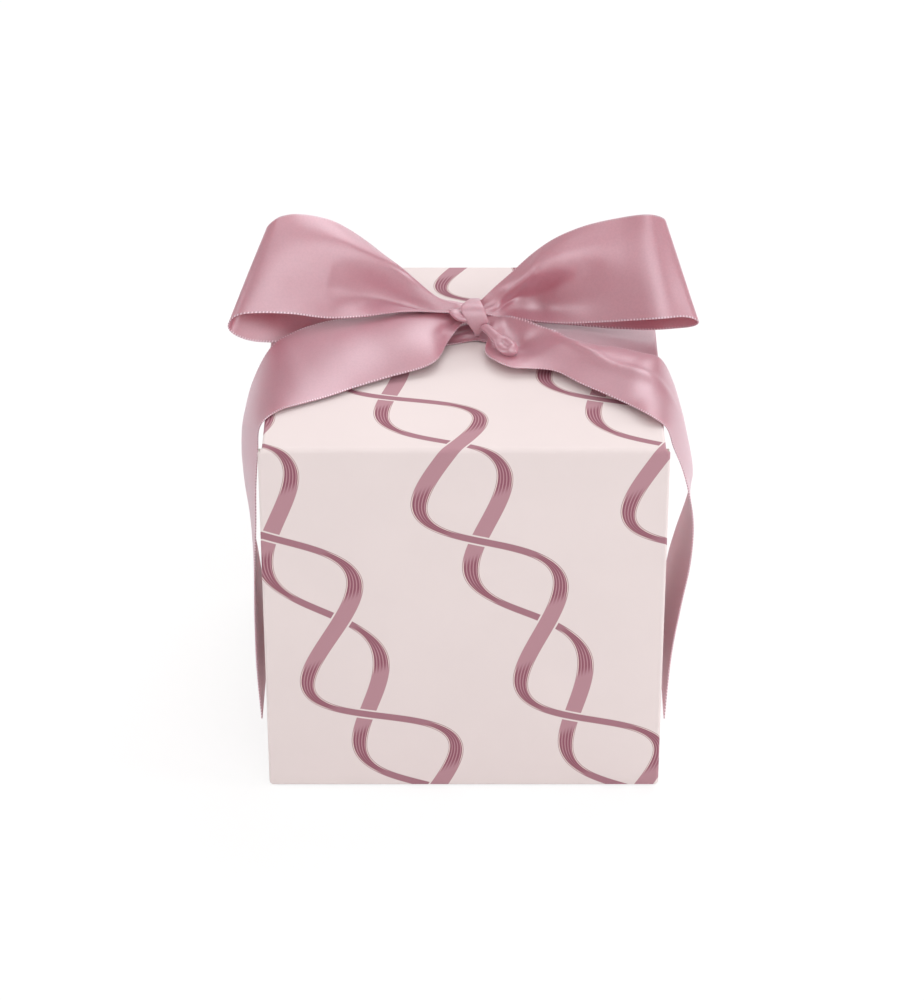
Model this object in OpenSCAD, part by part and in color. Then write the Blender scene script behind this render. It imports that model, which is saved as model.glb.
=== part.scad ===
// Hinged gift box: a lined tray in a book-style cover with a full-height front
// flap, dressed with a wide satin ribbon bow tied round the lid.
// Millimetres. +Z is up, the front faces -Y, the origin is the middle of the
// underside. The rest pose is the closed box.

/* [Box] */
// Width over the front flap
box_w = 130; // [112:1:150]
// Depth from the flap's face to the back panel's face
box_d = 128; // [118:1:150]
// Height from the rest face to the lid's face
box_h = 130; // [100:1:150]
// Thickness of the grey board
board_t = 2; // [1.6:0.1:2.6]
// Thickness of the glued paper
paper_t = 0.3; // [0.2:0.05:0.4]
// How far each side of the lid stands in from the flap's side
lid_inset = 1.3; // [0.6:0.1:2]
// How far each side of the tray stands in from the lid's side
tray_inset = 0.7; // [0.4:0.1:1.5]
// Rounding of the flap's and the back panel's upright outer corners
panel_r = 1.6; // [0.8:0.1:1.8]
// Rounding of the lid's top side edges
lid_r = 1; // [0.5:0.1:1.6]
// Width of the paper turned in over a board's edge
turn_in = 12; // [6:1:20]

/* [Fits] */
// Gap between the flap and what it closes on
flap_gap = 0.5; // [0.3:0.1:1]
// Gap between the lid's end and the panel that it is hinged to
hinge_gap = 0.3; // [0.2:0.1:0.6]
// Height of the flap's foot above the rest face
flap_foot = 0.5; // [0.3:0.1:1]
// Clearance between glued papers in one layer
seam_gap = 0.2; // [0.1:0.05:0.4]
// Clearance between the lid's ribbon and the tray's rim
rim_gap = 0.3; // [0.3:0.1:0.8]

/* [Closure] */
// Diameter of the closing magnets and their steel plates
magnet_d = 10; // [6:1:14]
// Thickness of a closing magnet
magnet_t = 1.4; // [0.8:0.1:1.5]
// Thickness of a steel plate
plate_t = 1; // [0.6:0.1:1.4]
// Distance of each magnet's middle from its side of the flap
magnet_inset = 25; // [18:1:40]
// Height of the magnets above the rest face
magnet_z = 18; // [12:1:30]
// Radial clearance of a magnet or plate in its pocket
pocket_gap = 0.1; // [0.05:0.05:0.2]

/* [Ribbon] */
// Width of the satin ribbon
ribbon_w = 38; // [32:1:40]
// Thickness of the satin ribbon
ribbon_t = 0.4; // [0.3:0.05:0.5]
// Distance of the band and the bow behind the lid's middle
bow_y = 14; // [6:1:20]
// Distance of the knot to the right of the lid's middle
knot_x = 4; // [2:0.5:6]
// Height of the tails' ends above the rest face
tail_foot = 15; // [8:1:30]
// Clearance of the band round the lid
band_gap = 0.15; // [0.1:0.05:0.3]
// Half width of the band where the knot gathers it
gather_half = 6; // [5:0.5:9]
// Half depth of the wrap round the knot
wrap_ry = 5.4; // [5.2:0.1:6]
// Half height of the wrap round the knot
wrap_rz = 5; // [4.9:0.1:5.6]
// Thickness of the gathered wrap
wrap_t = 1.2; // [0.8:0.1:1.4]

/* [Hidden] */
eps = 0.01;
past = 1;                              // how far a cutting shape runs past what it cuts
skin_t = board_t + 2*paper_t;          // a board with paper on both faces
lid_top = box_h;
lid_under = lid_top - skin_t;
lid_half = box_w/2 - lid_inset;
lid_front = -box_d/2 + skin_t + hinge_gap;
lid_back = box_d/2 - skin_t - hinge_gap;
panel_top = box_h - paper_t - hinge_gap; // top of the flap and the back panel
rim_z = lid_under - 2*band_gap - ribbon_t - rim_gap;
tray_half = lid_half - tray_inset;
tray_front = -box_d/2 + skin_t + flap_gap;
tray_back = box_d/2 - paper_t - board_t;
floor_z = paper_t + board_t;           // top of the cover's base board
magnet_x = box_w/2 - magnet_inset;
wall_top = rim_z - paper_t;            // top of the tray's boards

// what the bow's points are drawn for: a ribbon's width, the distance of its
// tails from the lid's middle and their drop below the lid
drawn = [38, 64, 115];
tail_gap = 0.3;                        // clearance of the tails from the lid's sides
tail_edge = lid_half + tail_gap;       // where the tails turn down, from the lid's middle
tail_drop = box_h - tail_foot;
ribbon_across = 6;                     // faces across a ribbon
ribbon_steps = 4;                      // faces along it from point to point
throat_t = 1.8;                        // thickness of a ribbon gathered in the knot
throat_half = 0.3;                     // half the gap between left and right pieces in the knot
knot_foot = 1.6;                       // height of the knot's underside over the lid
wrap_z = knot_foot + wrap_rz + wrap_t/2; // height of the knot's middle over the lid
wrap_narrow = 1.2;                     // half width of the wrap under the knot
wrap_swell = 2.4;                      // how much it widens over the knot
wrap_slant = 1.9;                      // how far its top leans to the left
wrap_shift = 0.7;                      // how far its foot stands to the right
lobe_at = [-7, -5.6, 10.6];            // the lobe's middle, from the knot's foot on the lid
lobe_half = 2.8;                       // its half length,
lobe_r = 2.1;                          // its radius
lobe_rise = 0.7;                       // and the rise of its right end over its middle

// ---------------------------------------------------------------- helpers

// a box between two corners
module between(a, b) translate(a) cube(b - a);

// a plate outline from y = 0 to y = d with its two corners at y = 0 rounded
module front_rounded(half, d, r) intersection()
{
    translate([-half, 0]) square([2*half, d]);
    hull() for (s = [-1, 1])
    {
        translate([s*(half - r), r]) circle(r = r, $fn = 32);
        translate([s*half - (s > 0 ? eps : 0), r]) square([eps, d]);
    }
}

// an upright panel of the cover: its outer face is at y = 0, its inside towards +y
module panel_board(z0, z1)
    translate([0, paper_t, z0]) linear_extrude(z1 - z0)
        front_rounded(box_w/2 - paper_t, board_t, panel_r - paper_t);

// the paper over a panel's face, round its sides and turned in behind it
module panel_paper(z0, z1)
    translate([0, 0, z0]) linear_extrude(z1 - z0) difference()
    {
        front_rounded(box_w/2, skin_t, panel_r);
        translate([0, paper_t]) front_rounded(box_w/2 - paper_t, board_t, panel_r - paper_t);
        translate([-box_w/2 + turn_in, paper_t + board_t - eps])
            square([box_w - 2*turn_in, paper_t + 2*eps]);
    }

module disc(x, y, r, t) translate([x, y, magnet_z]) rotate([-90, 0, 0])
    cylinder(r = r, h = t, $fn = 48);

// the ring of the tray's outline, from one inset of its outer face to another
module tray_ring(a, b, z0, z1) difference()
{
    between([-tray_half + a, tray_front + a, z0], [tray_half - a, tray_back - a, z1]);
    between([-tray_half + b, tray_front + b, z0 - past], [tray_half - b, tray_back - b, z1 + past]);
}

// ---------------------------------------------------------------- ribbon

// a smooth curve through the rows of a table, at part t of the way past row i
function row_before(T, i) = i > 0 ? T[i - 1] : 2*T[0] - T[1];
function row_after(T, i) = i + 2 < len(T) ? T[i + 2] : 2*T[len(T) - 1] - T[len(T) - 2];
function curve(T, i, t) =
    let (a = row_before(T, i), b = T[i], c = T[i + 1], d = row_after(T, i))
    0.5*(2*b + t*(c - a) + t*t*(2*a - 5*b + 4*c - d) + t*t*t*(3*b - a - 3*c + d));
function curve_rows(T, n) = concat(
    [for (i = [0:len(T) - 2]) for (k = [0:n - 1]) curve(T, i, k/n)], [T[len(T) - 1]]);

// a drawn point, carried to the lid's real edge and the tails' real length
function carried(p, edge, drop) =
    let (side = sign(p[0]), x = abs(p[0]), over = max(0, x - drawn[1]))
    [side*(min(x, drawn[1])*edge/drawn[1] + over), p[1],
     p[2] > 0 ? p[2] : p[2]*drop/drawn[2]];

// row: near edge x y z, far edge x y z, bulge and S-bend as parts of the width
function row_near(r, e, d) = carried([r[0], r[1], r[2]], e, d);
function row_far(r, e, d) = row_near(r, e, d)
    + (carried([r[3], r[4], r[5]], e, d) - row_near(r, e, d))*ribbon_w/drawn[0];
function unit(v) = v/max(norm(v), 1e-6);
function clamped(i, n) = max(0, min(n, i));

// points of the ribbon's middle surface: one list of points across for each row;
// side is 1 for a piece that leaves the knot to the right and -1 to the left
function ribbon_grid(R, side, e, d) = [for (i = [0:len(R) - 1])
    let (a = row_near(R[i], e, d), b = row_far(R[i], e, d), w = norm(b - a),
         p = row_near(R[clamped(i - 1, len(R) - 1)], e, d),
         q = row_near(R[clamped(i + 1, len(R) - 1)], e, d),
         p2 = row_far(R[clamped(i - 1, len(R) - 1)], e, d),
         q2 = row_far(R[clamped(i + 1, len(R) - 1)], e, d),
         up = side*unit(cross(q + q2 - p - p2, b - a)))
    [for (j = [0:ribbon_across]) let (v = j/ribbon_across)
        a + v*(b - a) + up*w*(R[i][6]*4*v*(1 - v) - R[i][7]*sin(360*v))]];

// thickness of the ribbon where a row gathers it
function gathered_t(row) = min(throat_t, ribbon_t*ribbon_w/norm(row[ribbon_across] - row[0]));

function grid_up(G, i, j, closed) =
    let (n = len(G), i0 = closed ? (i + n - 1) % n : clamped(i - 1, n - 1),
         i1 = closed ? (i + 1) % n : clamped(i + 1, n - 1),
         j0 = clamped(j - 1, ribbon_across), j1 = clamped(j + 1, ribbon_across))
    unit(cross(G[i1][j] - G[i0][j], G[i][j1] - G[i][j0]));

// a closed sheet solid over a grid: a ring of points per row, upper face first
module sheet(G, closed = false, thick = 0)
{
    n = len(G);
    m = ribbon_across + 1;
    ring = 2*m;
    points = [for (i = [0:n - 1]) let (t = thick > 0 ? thick : gathered_t(G[i]))
        each concat([for (j = [0:m - 1]) G[i][j] + grid_up(G, i, j, closed)*t/2],
                    [for (j = [m - 1:-1:0]) G[i][j] - grid_up(G, i, j, closed)*t/2])];
    sides = [for (i = [0:closed ? n - 1 : n - 2]) for (k = [0:ring - 1])
        let (a = i*ring, b = ((i + 1) % n)*ring, l = (k + 1) % ring)
        each [[a + k, a + l, b + l], [a + k, b + l, b + k]]];
    ends = closed ? [] : [for (j = [0:m - 2]) let (o = (n - 1)*ring, k = ring - 1 - j)
        each [[j, k, k - 1], [j, k - 1, j + 1],
              [o + j, o + k - 1, o + k], [o + j, o + j + 1, o + k - 1]]];
    polyhedron(points, concat(sides, ends), convexity = 10);
}

module ribbon(T, side, edge = drawn[1], drop = drawn[2])
    translate([0, bow_y, lid_top])
        sheet(ribbon_grid(curve_rows(T, ribbon_steps), side, edge, drop));

// the same pieces' points, measured from the middle of the band on the lid and
// chosen by hand: near edge, far edge, bulge, S-bend
left_end = knot_x - throat_half;
right_start = knot_x + throat_half;

loop_left_rows = [
    [left_end, -2.2, 9.1, left_end, 3, 9.1, 0, 0],
    [-3, -3, 9.3, -2.5, 3.5, 10, 0, 0],
    [-10, -4.5, 10.5, -9, 4, 11.5, 0.02, 0.05],
    [-17, -6, 11.5, -17, 7.5, 16.5, 0.05, 0.12],
    [-24, -8, 12, -25, 9.5, 23, 0.09, 0.15],
    [-34, -10, 11.5, -34.5, 11, 30.5, 0.08, 0.12],
    [-45, -12, 12, -44, 12, 36, 0.07, 0.07],
    [-56, -13, 14, -54, 11.5, 38.5, 0.06, 0.03],
    [-66, -14, 15, -60.5, 9.5, 39.3, 0.04, 0],
    [-74, -14.5, 14.5, -64, 8, 37.6, 0.02, 0],
    [-77.5, -14, 11, -65.5, 8, 36.5, 0, 0],
    [-76.5, -13, 7, -64.5, 11.5, 33.5, -0.02, 0],
    [-71, -12.5, 4, -60, 17, 28, -0.04, 0],
    [-63, -11, 2.5, -54, 21, 21, -0.05, 0],
    [-52, -7, 1.6, -46, 25, 17, -0.05, 0],
    [-38, -5, 1.5, -35, 25, 15, -0.03, 0],
    [-24, -4, 2.2, -22, 20, 13.5, -0.02, 0],
    [-12, -3, 3.8, -11, 11, 9.5, 0, 0],
    [-4, -2.5, 4.6, -4, 3.5, 5.2, 0, 0],
    [left_end, -2.2, 4.9, left_end, 3, 4.9, 0, 0]];

loop_right_rows = [
    [right_start, -2.2, 9.1, right_start, 3, 9.1, 0, 0],
    [10.5, -2.2, 9, 11, 3.3, 12.2, 0, 0],
    [16, -1.5, 7, 15.5, 6.5, 19, 0.03, 0.16],
    [24, -1, 5, 23, 9.5, 25, 0.06, 0.2],
    [33, -4, 5.8, 31, 11.5, 30, 0.08, 0.13],
    [43, -7.5, 8, 41, 12.5, 34, 0.08, 0.06],
    [54, -11, 10.5, 52, 12, 37, 0.07, 0.02],
    [65, -13.5, 12.6, 60, 10, 39.2, 0.04, 0],
    [73, -11.5, 12.2, 64.8, 11, 38, 0.02, 0],
    [77.5, -9.5, 9.6, 67, 12.5, 35.6, 0, 0],
    [76.5, -6.5, 6.2, 65.8, 16, 32.6, -0.02, 0],
    [71, -4, 4, 61, 20.5, 28, -0.04, 0],
    [62, -3.5, 3.2, 54, 24.5, 22.5, -0.04, 0],
    [50, -0.5, 2.2, 45, 29.5, 17.5, -0.04, 0],
    [37, 2.5, 1.8, 34, 28, 15.5, -0.03, 0],
    [24, 4, 2, 23, 20, 11, -0.02, 0],
    [15, 3, 3, 15, 11, 6.5, 0, 0],
    [10, -0.5, 4.2, 10.5, 4.2, 4.8, 0, 0],
    [right_start, -2.2, 4.9, right_start, 3, 4.9, 0, 0]];

tail_left_rows = [
    [left_end, -4, 7, left_end, 1, 7, 0, 0],
    [-0.5, -5, 6.4, -2, 1.5, 7.2, 0.02, 0],
    [-5.5, -15.5, 4.8, -9, 3, 7.6, 0.1, 0],
    [-8.5, -26.5, 4.8, -17, 1.5, 7.8, 0.12, 0],
    [-13.5, -31.5, 4.2, -25, -0.5, 8.4, 0.12, 0],
    [-24, -35.5, 3, -36, -4, 8.2, 0.1, 0],
    [-35, -41.5, 2.5, -46.5, -7, 7.8, 0.08, 0],
    [-44, -47.5, 2.3, -56, -12, 6.8, 0.05, 0],
    [-52, -52, 2.3, -63.5, -17, 3.8, 0.04, 0],
    [-59.5, -56.5, 2.2, -69.5, -22.5, -6, 0.05, 0],
    [-65, -61, -1, -72.5, -27, -17, 0.05, 0],
    [-66, -62, -10, -73.5, -28, -28, 0.04, 0],
    [-67, -62, -23, -73.5, -26, -37, 0.02, 0],
    [-67.5, -62, -38, -73, -24.5, -46, 0, 0],
    [-68.5, -61.5, -56, -71.5, -23.5, -59, 0, 0],
    [-69, -61, -74, -69.5, -23, -75, 0, 0],
    [-69, -60.5, -94, -68, -22.5, -92, 0, 0],
    [-68, -60, -115, -67, -22, -104, 0, 0]];

tail_right_rows = [
    [right_start, -4, 7, right_start, 1, 7, 0, 0],
    [8.8, -5.6, 5.6, 10.5, -2.8, 7, 0, 0],
    [7, -17.5, 3, 14.5, -4.5, 9, -0.2, 0],
    [10.5, -25.5, 3.4, 21, -7, 8.6, -0.2, 0.02],
    [16, -30, 3.4, 28, -11, 7.4, -0.1, 0.04],
    [22, -30, 3, 35, -14.5, 5.4, 0.02, 0.06],
    [30, -32, 3, 42.5, -15, 3, 0.08, 0.06],
    [38, -40, 2.8, 50, -14, 1.2, 0.11, 0.04],
    [46, -47, 2.6, 58, -17, 1.2, 0.08, 0.02],
    [53, -53.5, 2.5, 64.5, -20, 1, 0.07, 0.01],
    [59.5, -62, 3.2, 69, -23.5, -6, 0.06, 0],
    [64.5, -64, 0, 72, -27, -16, 0.05, 0],
    [67, -63.5, -7.5, 74.5, -29.5, -26, 0.03, 0],
    [70, -62.5, -15.5, 76, -29, -35, 0.02, 0],
    [72.5, -62, -25, 76, -25.5, -43, 0, 0],
    [74.5, -61, -38, 74.5, -23.5, -52, 0, 0],
    [74, -61, -53, 72, -22.5, -62, 0, 0],
    [71.5, -60.5, -70, 69.5, -22, -74, 0, 0],
    [69, -60, -90, 67.5, -22, -90, 0, 0],
    [67.5, -60, -115, 67, -22, -102, 0, 0]];

// half width of the band at a distance x along the lid's face
function band_half(x) = let (s = min(1, abs(x - knot_x)/(lid_half - knot_x)))
    gather_half + (ribbon_w/2 - gather_half)*sin(90*s);
function band_t(x) = ribbon_t*ribbon_w/(2*band_half(x));
band_edge = lid_half + band_gap + ribbon_t/2;
band_low = -skin_t - band_gap - ribbon_t/2;
band_high = band_gap + ribbon_t/2;
band_r = 0.6;                          // radius of its turns round the lid's edges
band_flat = band_edge - 2;             // half length of its flat parts

// the band's path round the lid: x, z, half width
function band_turn(sx, sz, a0) = [for (k = [0:3]) let (a = a0 - 30*k)
    [sx*(band_edge - band_r) + band_r*cos(a),
     (sz > 0 ? band_high - band_r : band_low + band_r) + band_r*sin(a), ribbon_w/2]];
band_path = concat(
    [for (k = [-10:10]) let (x = band_flat*k/10)
        [x, band_gap + band_t(x)/2, band_half(x)]],
    band_turn(1, 1, 90), band_turn(1, -1, 0),
    [for (k = [10:-2:-10]) [band_flat*k/10, band_low, ribbon_w/2]],
    band_turn(-1, -1, -90), band_turn(-1, 1, 180));
band_grid = [for (p = band_path) [for (j = [0:ribbon_across])
    [p[0], -p[2] + 2*p[2]*j/ribbon_across, p[1]]]];

// the wrap: a gathered turn of ribbon round the knot, narrow under its front
function wrap_half(a) = wrap_narrow + wrap_swell*pow(cos((a - 50)/2), 4);
function wrap_x(a) = knot_x + wrap_shift - wrap_slant*pow(max(0, cos(a - 10)), 2);
wrap_grid = [for (k = [0:35]) let (a = 10*k) [for (j = [0:ribbon_across])
    [wrap_x(a) + wrap_half(a)*(1 - 2*j/ribbon_across),
     wrap_ry*cos(a + 90), wrap_z + wrap_rz*sin(a + 90)]]];

// a bent round bar of changing radius through given points
module bar(P, radii, sides = 12)
{
    n = len(P);
    function ahead(i) = unit(P[clamped(i + 1, n - 1)] - P[clamped(i - 1, n - 1)]);
    points = [for (i = [0:n - 1]) let (u = unit(cross(ahead(i), [0, 0, 1])), w = cross(u, ahead(i)))
        for (k = [0:sides - 1]) P[i] + radii[i]*(u*cos(360*k/sides) + w*sin(360*k/sides))];
    faces = concat(
        [[for (k = [sides - 1:-1:0]) k]],
        [[for (k = [0:sides - 1]) (n - 1)*sides + k]],
        [for (i = [0:n - 2]) for (k = [0:sides - 1]) let (l = (k + 1) % sides)
            each [[i*sides + k, (i + 1)*sides + l, (i + 1)*sides + k],
                  [i*sides + k, i*sides + l, (i + 1)*sides + l]]]);
    polyhedron(points, faces, convexity = 4);
}

// ---------------------------------------------------------------- the tray's body

module base_board() color("#b9ab97")
    between([-lid_half + paper_t, tray_front, paper_t], [lid_half - paper_t, tray_back, floor_z]);

module back_board() color("#b9ab97")
    translate([0, box_d/2, 0]) mirror([0, 1, 0]) panel_board(paper_t, panel_top);

// plain paper under the base board and up its sides
module base_paper() color("#ecdfdf")
{
    between([-lid_half, tray_front, 0], [lid_half, box_d/2 - paper_t, paper_t]);
    for (s = [-1, 1]) between([min(s*lid_half, s*(lid_half - paper_t)), tray_front, paper_t],
        [max(s*lid_half, s*(lid_half - paper_t)), tray_back, floor_z]);
}

// printed paper over the back panel and round its sides
module back_paper() color("#ecdfdf") translate([0, box_d/2, 0]) mirror([0, 1, 0]) difference()
{
    panel_paper(paper_t, panel_top);
    // the turned-in strips stop where the tray is glued on
    between([-lid_half - seam_gap, paper_t + board_t, 0],
            [lid_half + seam_gap, skin_t + past, box_h]);
}

module tray_wall_side(s) color("#b9ab97") between(
    [min(s*(tray_half - paper_t), s*(tray_half - paper_t - board_t)), tray_front + paper_t, floor_z],
    [max(s*(tray_half - paper_t), s*(tray_half - paper_t - board_t)), tray_back - paper_t, wall_top]);
module tray_left_board() tray_wall_side(-1);
module tray_right_board() tray_wall_side(1);

inner_half = tray_half - paper_t - board_t;
module tray_back_board() color("#b9ab97") between(
    [-inner_half, tray_back - paper_t - board_t, floor_z], [inner_half, tray_back - paper_t, wall_top]);

// the front board has a shallow pocket for each steel plate in its outer face
module tray_front_board() color("#b9ab97") difference()
{
    between([-inner_half, tray_front + paper_t, floor_z],
            [inner_half, tray_front + paper_t + board_t, wall_top]);
    for (s = [-1, 1]) disc(s*magnet_x, tray_front + paper_t - past,
        magnet_d/2 + pocket_gap, plate_t + past);
}

module tray_floor_board() color("#b9ab97") between(
    [-inner_half, tray_front + paper_t + board_t, floor_z],
    [inner_half, tray_back - paper_t - board_t, floor_z + board_t]);

// covering paper round the tray, over its rim and turned in
module tray_wrap() color("#ecdfdf")
{
    tray_ring(0, paper_t, floor_z, rim_z);
    tray_ring(paper_t, paper_t + board_t, wall_top, rim_z);
    tray_ring(paper_t + board_t, board_t + 2*paper_t, rim_z - turn_in, rim_z);
}

// lining paper on the floor and up the walls to the wrap's edge
module tray_liner() color("#f6f1ee") difference()
{
    between([-inner_half, tray_front + paper_t + board_t, floor_z + board_t],
            [inner_half, tray_back - paper_t - board_t, rim_z - turn_in - seam_gap]);
    between([-inner_half + paper_t, tray_front + 2*paper_t + board_t, floor_z + board_t + paper_t],
            [inner_half - paper_t, tray_back - 2*paper_t - board_t, rim_z]);
}

module plate(s) color("#9aa0a6") disc(s*magnet_x, tray_front + paper_t, magnet_d/2, plate_t);
module plate_left() plate(-1);
module plate_right() plate(1);

// ---------------------------------------------------------------- the lid's body

// an outline across the lid, x and z, with its top corners rounded
module lid_outline(half, z0, z1, r)
    translate([0, z1]) mirror([0, 1]) front_rounded(half, z1 - z0, r);

module along_lid() translate([0, lid_back, 0]) rotate([90, 0, 0])
    linear_extrude(lid_back - lid_front) children();

module lid_board() color("#b9ab97") along_lid()
    lid_outline(lid_half - paper_t, lid_under + paper_t, lid_top - paper_t, lid_r - paper_t);

module lid_paper() color("#efe3e3") along_lid() difference()
{
    lid_outline(lid_half, lid_under, lid_top, lid_r);
    lid_outline(lid_half - paper_t, lid_under + paper_t, lid_top - paper_t, lid_r - paper_t);
    translate([-lid_half + turn_in, lid_under - eps])
        square([2*(lid_half - turn_in), paper_t + 2*eps]);
}

module lid_liner() color("#f6f1ee") between(
    [-lid_half + turn_in + seam_gap, lid_front, lid_under],
    [lid_half - turn_in - seam_gap, lid_back, lid_under + paper_t]);

// the strips of printed paper that bend where the lid is hinged
module hinge_paper(s) color("#efe3e3") between(
    [-lid_half, min(s*lid_back, s*(box_d/2 - paper_t)), lid_top - paper_t],
    [lid_half, max(s*lid_back, s*(box_d/2 - paper_t)), lid_top]);
module hinge_paper_rear() hinge_paper(1);
module hinge_paper_front() hinge_paper(-1);

module ribbon_band() color("#c995a3") translate([0, bow_y, lid_top]) sheet(band_grid, closed = true);
module knot_wrap() color("#d2a3b0") translate([0, bow_y, lid_top])
    sheet(wrap_grid, closed = true, thick = wrap_t);

// a small puff of ribbon at the left of the wrap
module knot_lobe() color("#d2a3b0") translate([knot_x, bow_y, lid_top] + lobe_at)
    bar([for (k = [-4:4]) [lobe_half, 0, lobe_rise]*sin(22*k)],
        [for (k = [-4:4]) lobe_r*cos(22*k)]);

// a rolled fold of ribbon in the right tail's hollow
module knot_curl() color("#d2a3b0") translate([knot_x, bow_y, lid_top])
    bar([[2.2, -8.6, 6.6], [3.4, -9.8, 7.2], [5.2, -12.6, 7], [7.2, -15.8, 6.5], [9, -18.6, 6.1],
         [10.4, -20.8, 5.9], [11.7, -22.6, 5.7], [12.5, -23.8, 5.6]],
        [0.6, 1.2, 1.6, 2, 2.5, 2.6, 2.1, 1]);

module loop_left() color("#cc99a7") ribbon(loop_left_rows, -1);
module loop_right() color("#cc99a7") ribbon(loop_right_rows, 1);
module tail_left() color("#cc99a7") ribbon(tail_left_rows, -1, tail_edge, tail_drop);
module tail_right() color("#cc99a7") ribbon(tail_right_rows, 1, tail_edge, tail_drop);

// ---------------------------------------------------------------- the flap's body

// the board has a pocket for each magnet in its inner face
module flap_board() color("#b9ab97") difference()
{
    translate([0, -box_d/2, 0]) panel_board(flap_foot + paper_t, panel_top - paper_t);
    for (s = [-1, 1]) disc(s*magnet_x, -box_d/2 + paper_t + board_t - magnet_t,
        magnet_d/2 + pocket_gap, magnet_t + past);
}

// printed paper over the flap's face, sides, foot and top edge
module flap_paper() color("#e2d6d5") translate([0, -box_d/2, 0]) difference()
{
    translate([0, 0, flap_foot]) linear_extrude(panel_top - flap_foot)
        front_rounded(box_w/2, skin_t, panel_r);
    panel_board(flap_foot + paper_t, panel_top - paper_t);
    between([-box_w/2 + turn_in, paper_t + board_t, 0], [box_w/2 - turn_in, skin_t + past, box_h]);
}

module flap_liner() color("#f6f1ee") between(
    [-box_w/2 + turn_in + seam_gap, -box_d/2 + paper_t + board_t, flap_foot],
    [box_w/2 - turn_in - seam_gap, -box_d/2 + skin_t, panel_top]);

module magnet(s) color("#8b9096")
    disc(s*magnet_x, -box_d/2 + paper_t + board_t - magnet_t, magnet_d/2, magnet_t);
module magnet_left() magnet(-1);
module magnet_right() magnet(1);

// ---------------------------------------------------------------- what is drawn

base_board();
back_board();
base_paper();
back_paper();
tray_front_board();
tray_back_board();
tray_left_board();
tray_right_board();
tray_floor_board();
tray_wrap();
tray_liner();
plate_left();
plate_right();
lid_board();
lid_paper();
lid_liner();
hinge_paper_rear();
hinge_paper_front();
flap_board();
flap_paper();
flap_liner();
magnet_left();
magnet_right();
ribbon_band();
knot_wrap();
knot_lobe();
knot_curl();
loop_left();
loop_right();
tail_left();
tail_right();
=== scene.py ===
"""A hinged gift box tied round its lid with a wide satin bow: papers, print, ribbon, light and camera."""

import math

import bpy
import numpy as np
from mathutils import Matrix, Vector


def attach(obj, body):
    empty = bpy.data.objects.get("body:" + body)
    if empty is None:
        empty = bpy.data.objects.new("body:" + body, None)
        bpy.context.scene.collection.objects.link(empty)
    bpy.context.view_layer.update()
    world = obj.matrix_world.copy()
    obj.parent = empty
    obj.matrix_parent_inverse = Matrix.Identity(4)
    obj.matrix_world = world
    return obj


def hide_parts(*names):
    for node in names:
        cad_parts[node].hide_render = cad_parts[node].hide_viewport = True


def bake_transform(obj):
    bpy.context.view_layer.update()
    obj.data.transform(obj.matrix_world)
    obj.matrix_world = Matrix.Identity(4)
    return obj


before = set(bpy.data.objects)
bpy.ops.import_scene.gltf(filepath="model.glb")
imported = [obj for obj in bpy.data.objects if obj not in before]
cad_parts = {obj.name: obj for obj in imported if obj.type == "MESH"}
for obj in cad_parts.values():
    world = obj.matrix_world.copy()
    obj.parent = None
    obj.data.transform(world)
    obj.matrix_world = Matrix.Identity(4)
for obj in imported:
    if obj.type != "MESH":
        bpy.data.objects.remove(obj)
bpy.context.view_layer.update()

# sizes in millimetres, as the solids have them; meshes are worked out in millimetres and stored in metres
MM = 0.001
BOX_D = 128.0            # depth over the covers, and the lid's length from hinge to hinge
BOX_H = 130.0            # height of the lid's top
PANEL_HALF_W = 65.0      # half the width of the front and back panels
LID_HALF_W = 63.7        # half the width of the lid
PAPER_BEND = 0.9         # radius of covering paper where it turns over a board's edge
FOLD_R = 1.7             # radius of the hinge paper round a closed fold
HINGE_PAPER = 0.28       # thickness of the hinge paper
RIBBON_W = 38.0          # width of the satin ribbon
RIBBON_T = 0.36          # its thickness
BOW = np.array([0.0, 14.0, BOX_H])  # middle of the band on the lid, where the bow's tables start from
KNOT_X = 4.0             # the knot's distance to the right of it
RING_STEP = 0.4          # about as far as the knot's rings of points lie apart, for their uv maps
TURN = 2 * math.pi


# ---------------------------------------------------------------- meshes

def add_piece(name, points, faces, uv=None, smooth=True):
    """A mesh object at the origin from points in millimetres, and quads or triangles. Where it is given,
    uv is a place in metres for every point."""
    points = np.asarray(points, float) * MM
    faces = np.asarray(faces, int)
    mesh = bpy.data.meshes.new(name)
    mesh.vertices.add(len(points))
    mesh.vertices.foreach_set("co", points.astype(np.float32).ravel())
    mesh.loops.add(faces.size)
    mesh.loops.foreach_set("vertex_index", faces.ravel())
    mesh.polygons.add(len(faces))
    mesh.polygons.foreach_set("loop_start", np.arange(len(faces)) * faces.shape[1])
    if uv is not None:
        layer = mesh.uv_layers.new(name="cloth")
        layer.data.foreach_set("uv", np.asarray(uv, np.float32)[faces.ravel()].ravel())
    mesh.update(calc_edges=True)
    mesh.validate()
    mesh.polygons.foreach_set("use_smooth", np.full(len(mesh.polygons), smooth))
    if smooth:
        mesh.set_sharp_from_angle(angle=math.radians(48))
    piece = bpy.data.objects.new(name, mesh)
    bpy.context.scene.collection.objects.link(piece)
    return piece


def grid_faces(rows, cols, first=0, ring_rows=False, ring_cols=False):
    """Quads over a grid of points numbered row by row, joined end to end where a way round is a ring."""
    i = np.arange(rows if ring_rows else rows - 1)[:, None]
    j = np.arange(cols if ring_cols else cols - 1)[None, :]
    i2, j2 = (i + 1) % rows, (j + 1) % cols
    corners = i * cols + j, i2 * cols + j, i2 * cols + j2, i * cols + j2
    return np.stack(np.broadcast_arrays(*corners), -1).reshape(-1, 4) + first


def halves(quads):
    """Each quad as two triangles."""
    return np.concatenate([quads[:, [0, 1, 2]], quads[:, [0, 2, 3]]])


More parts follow.
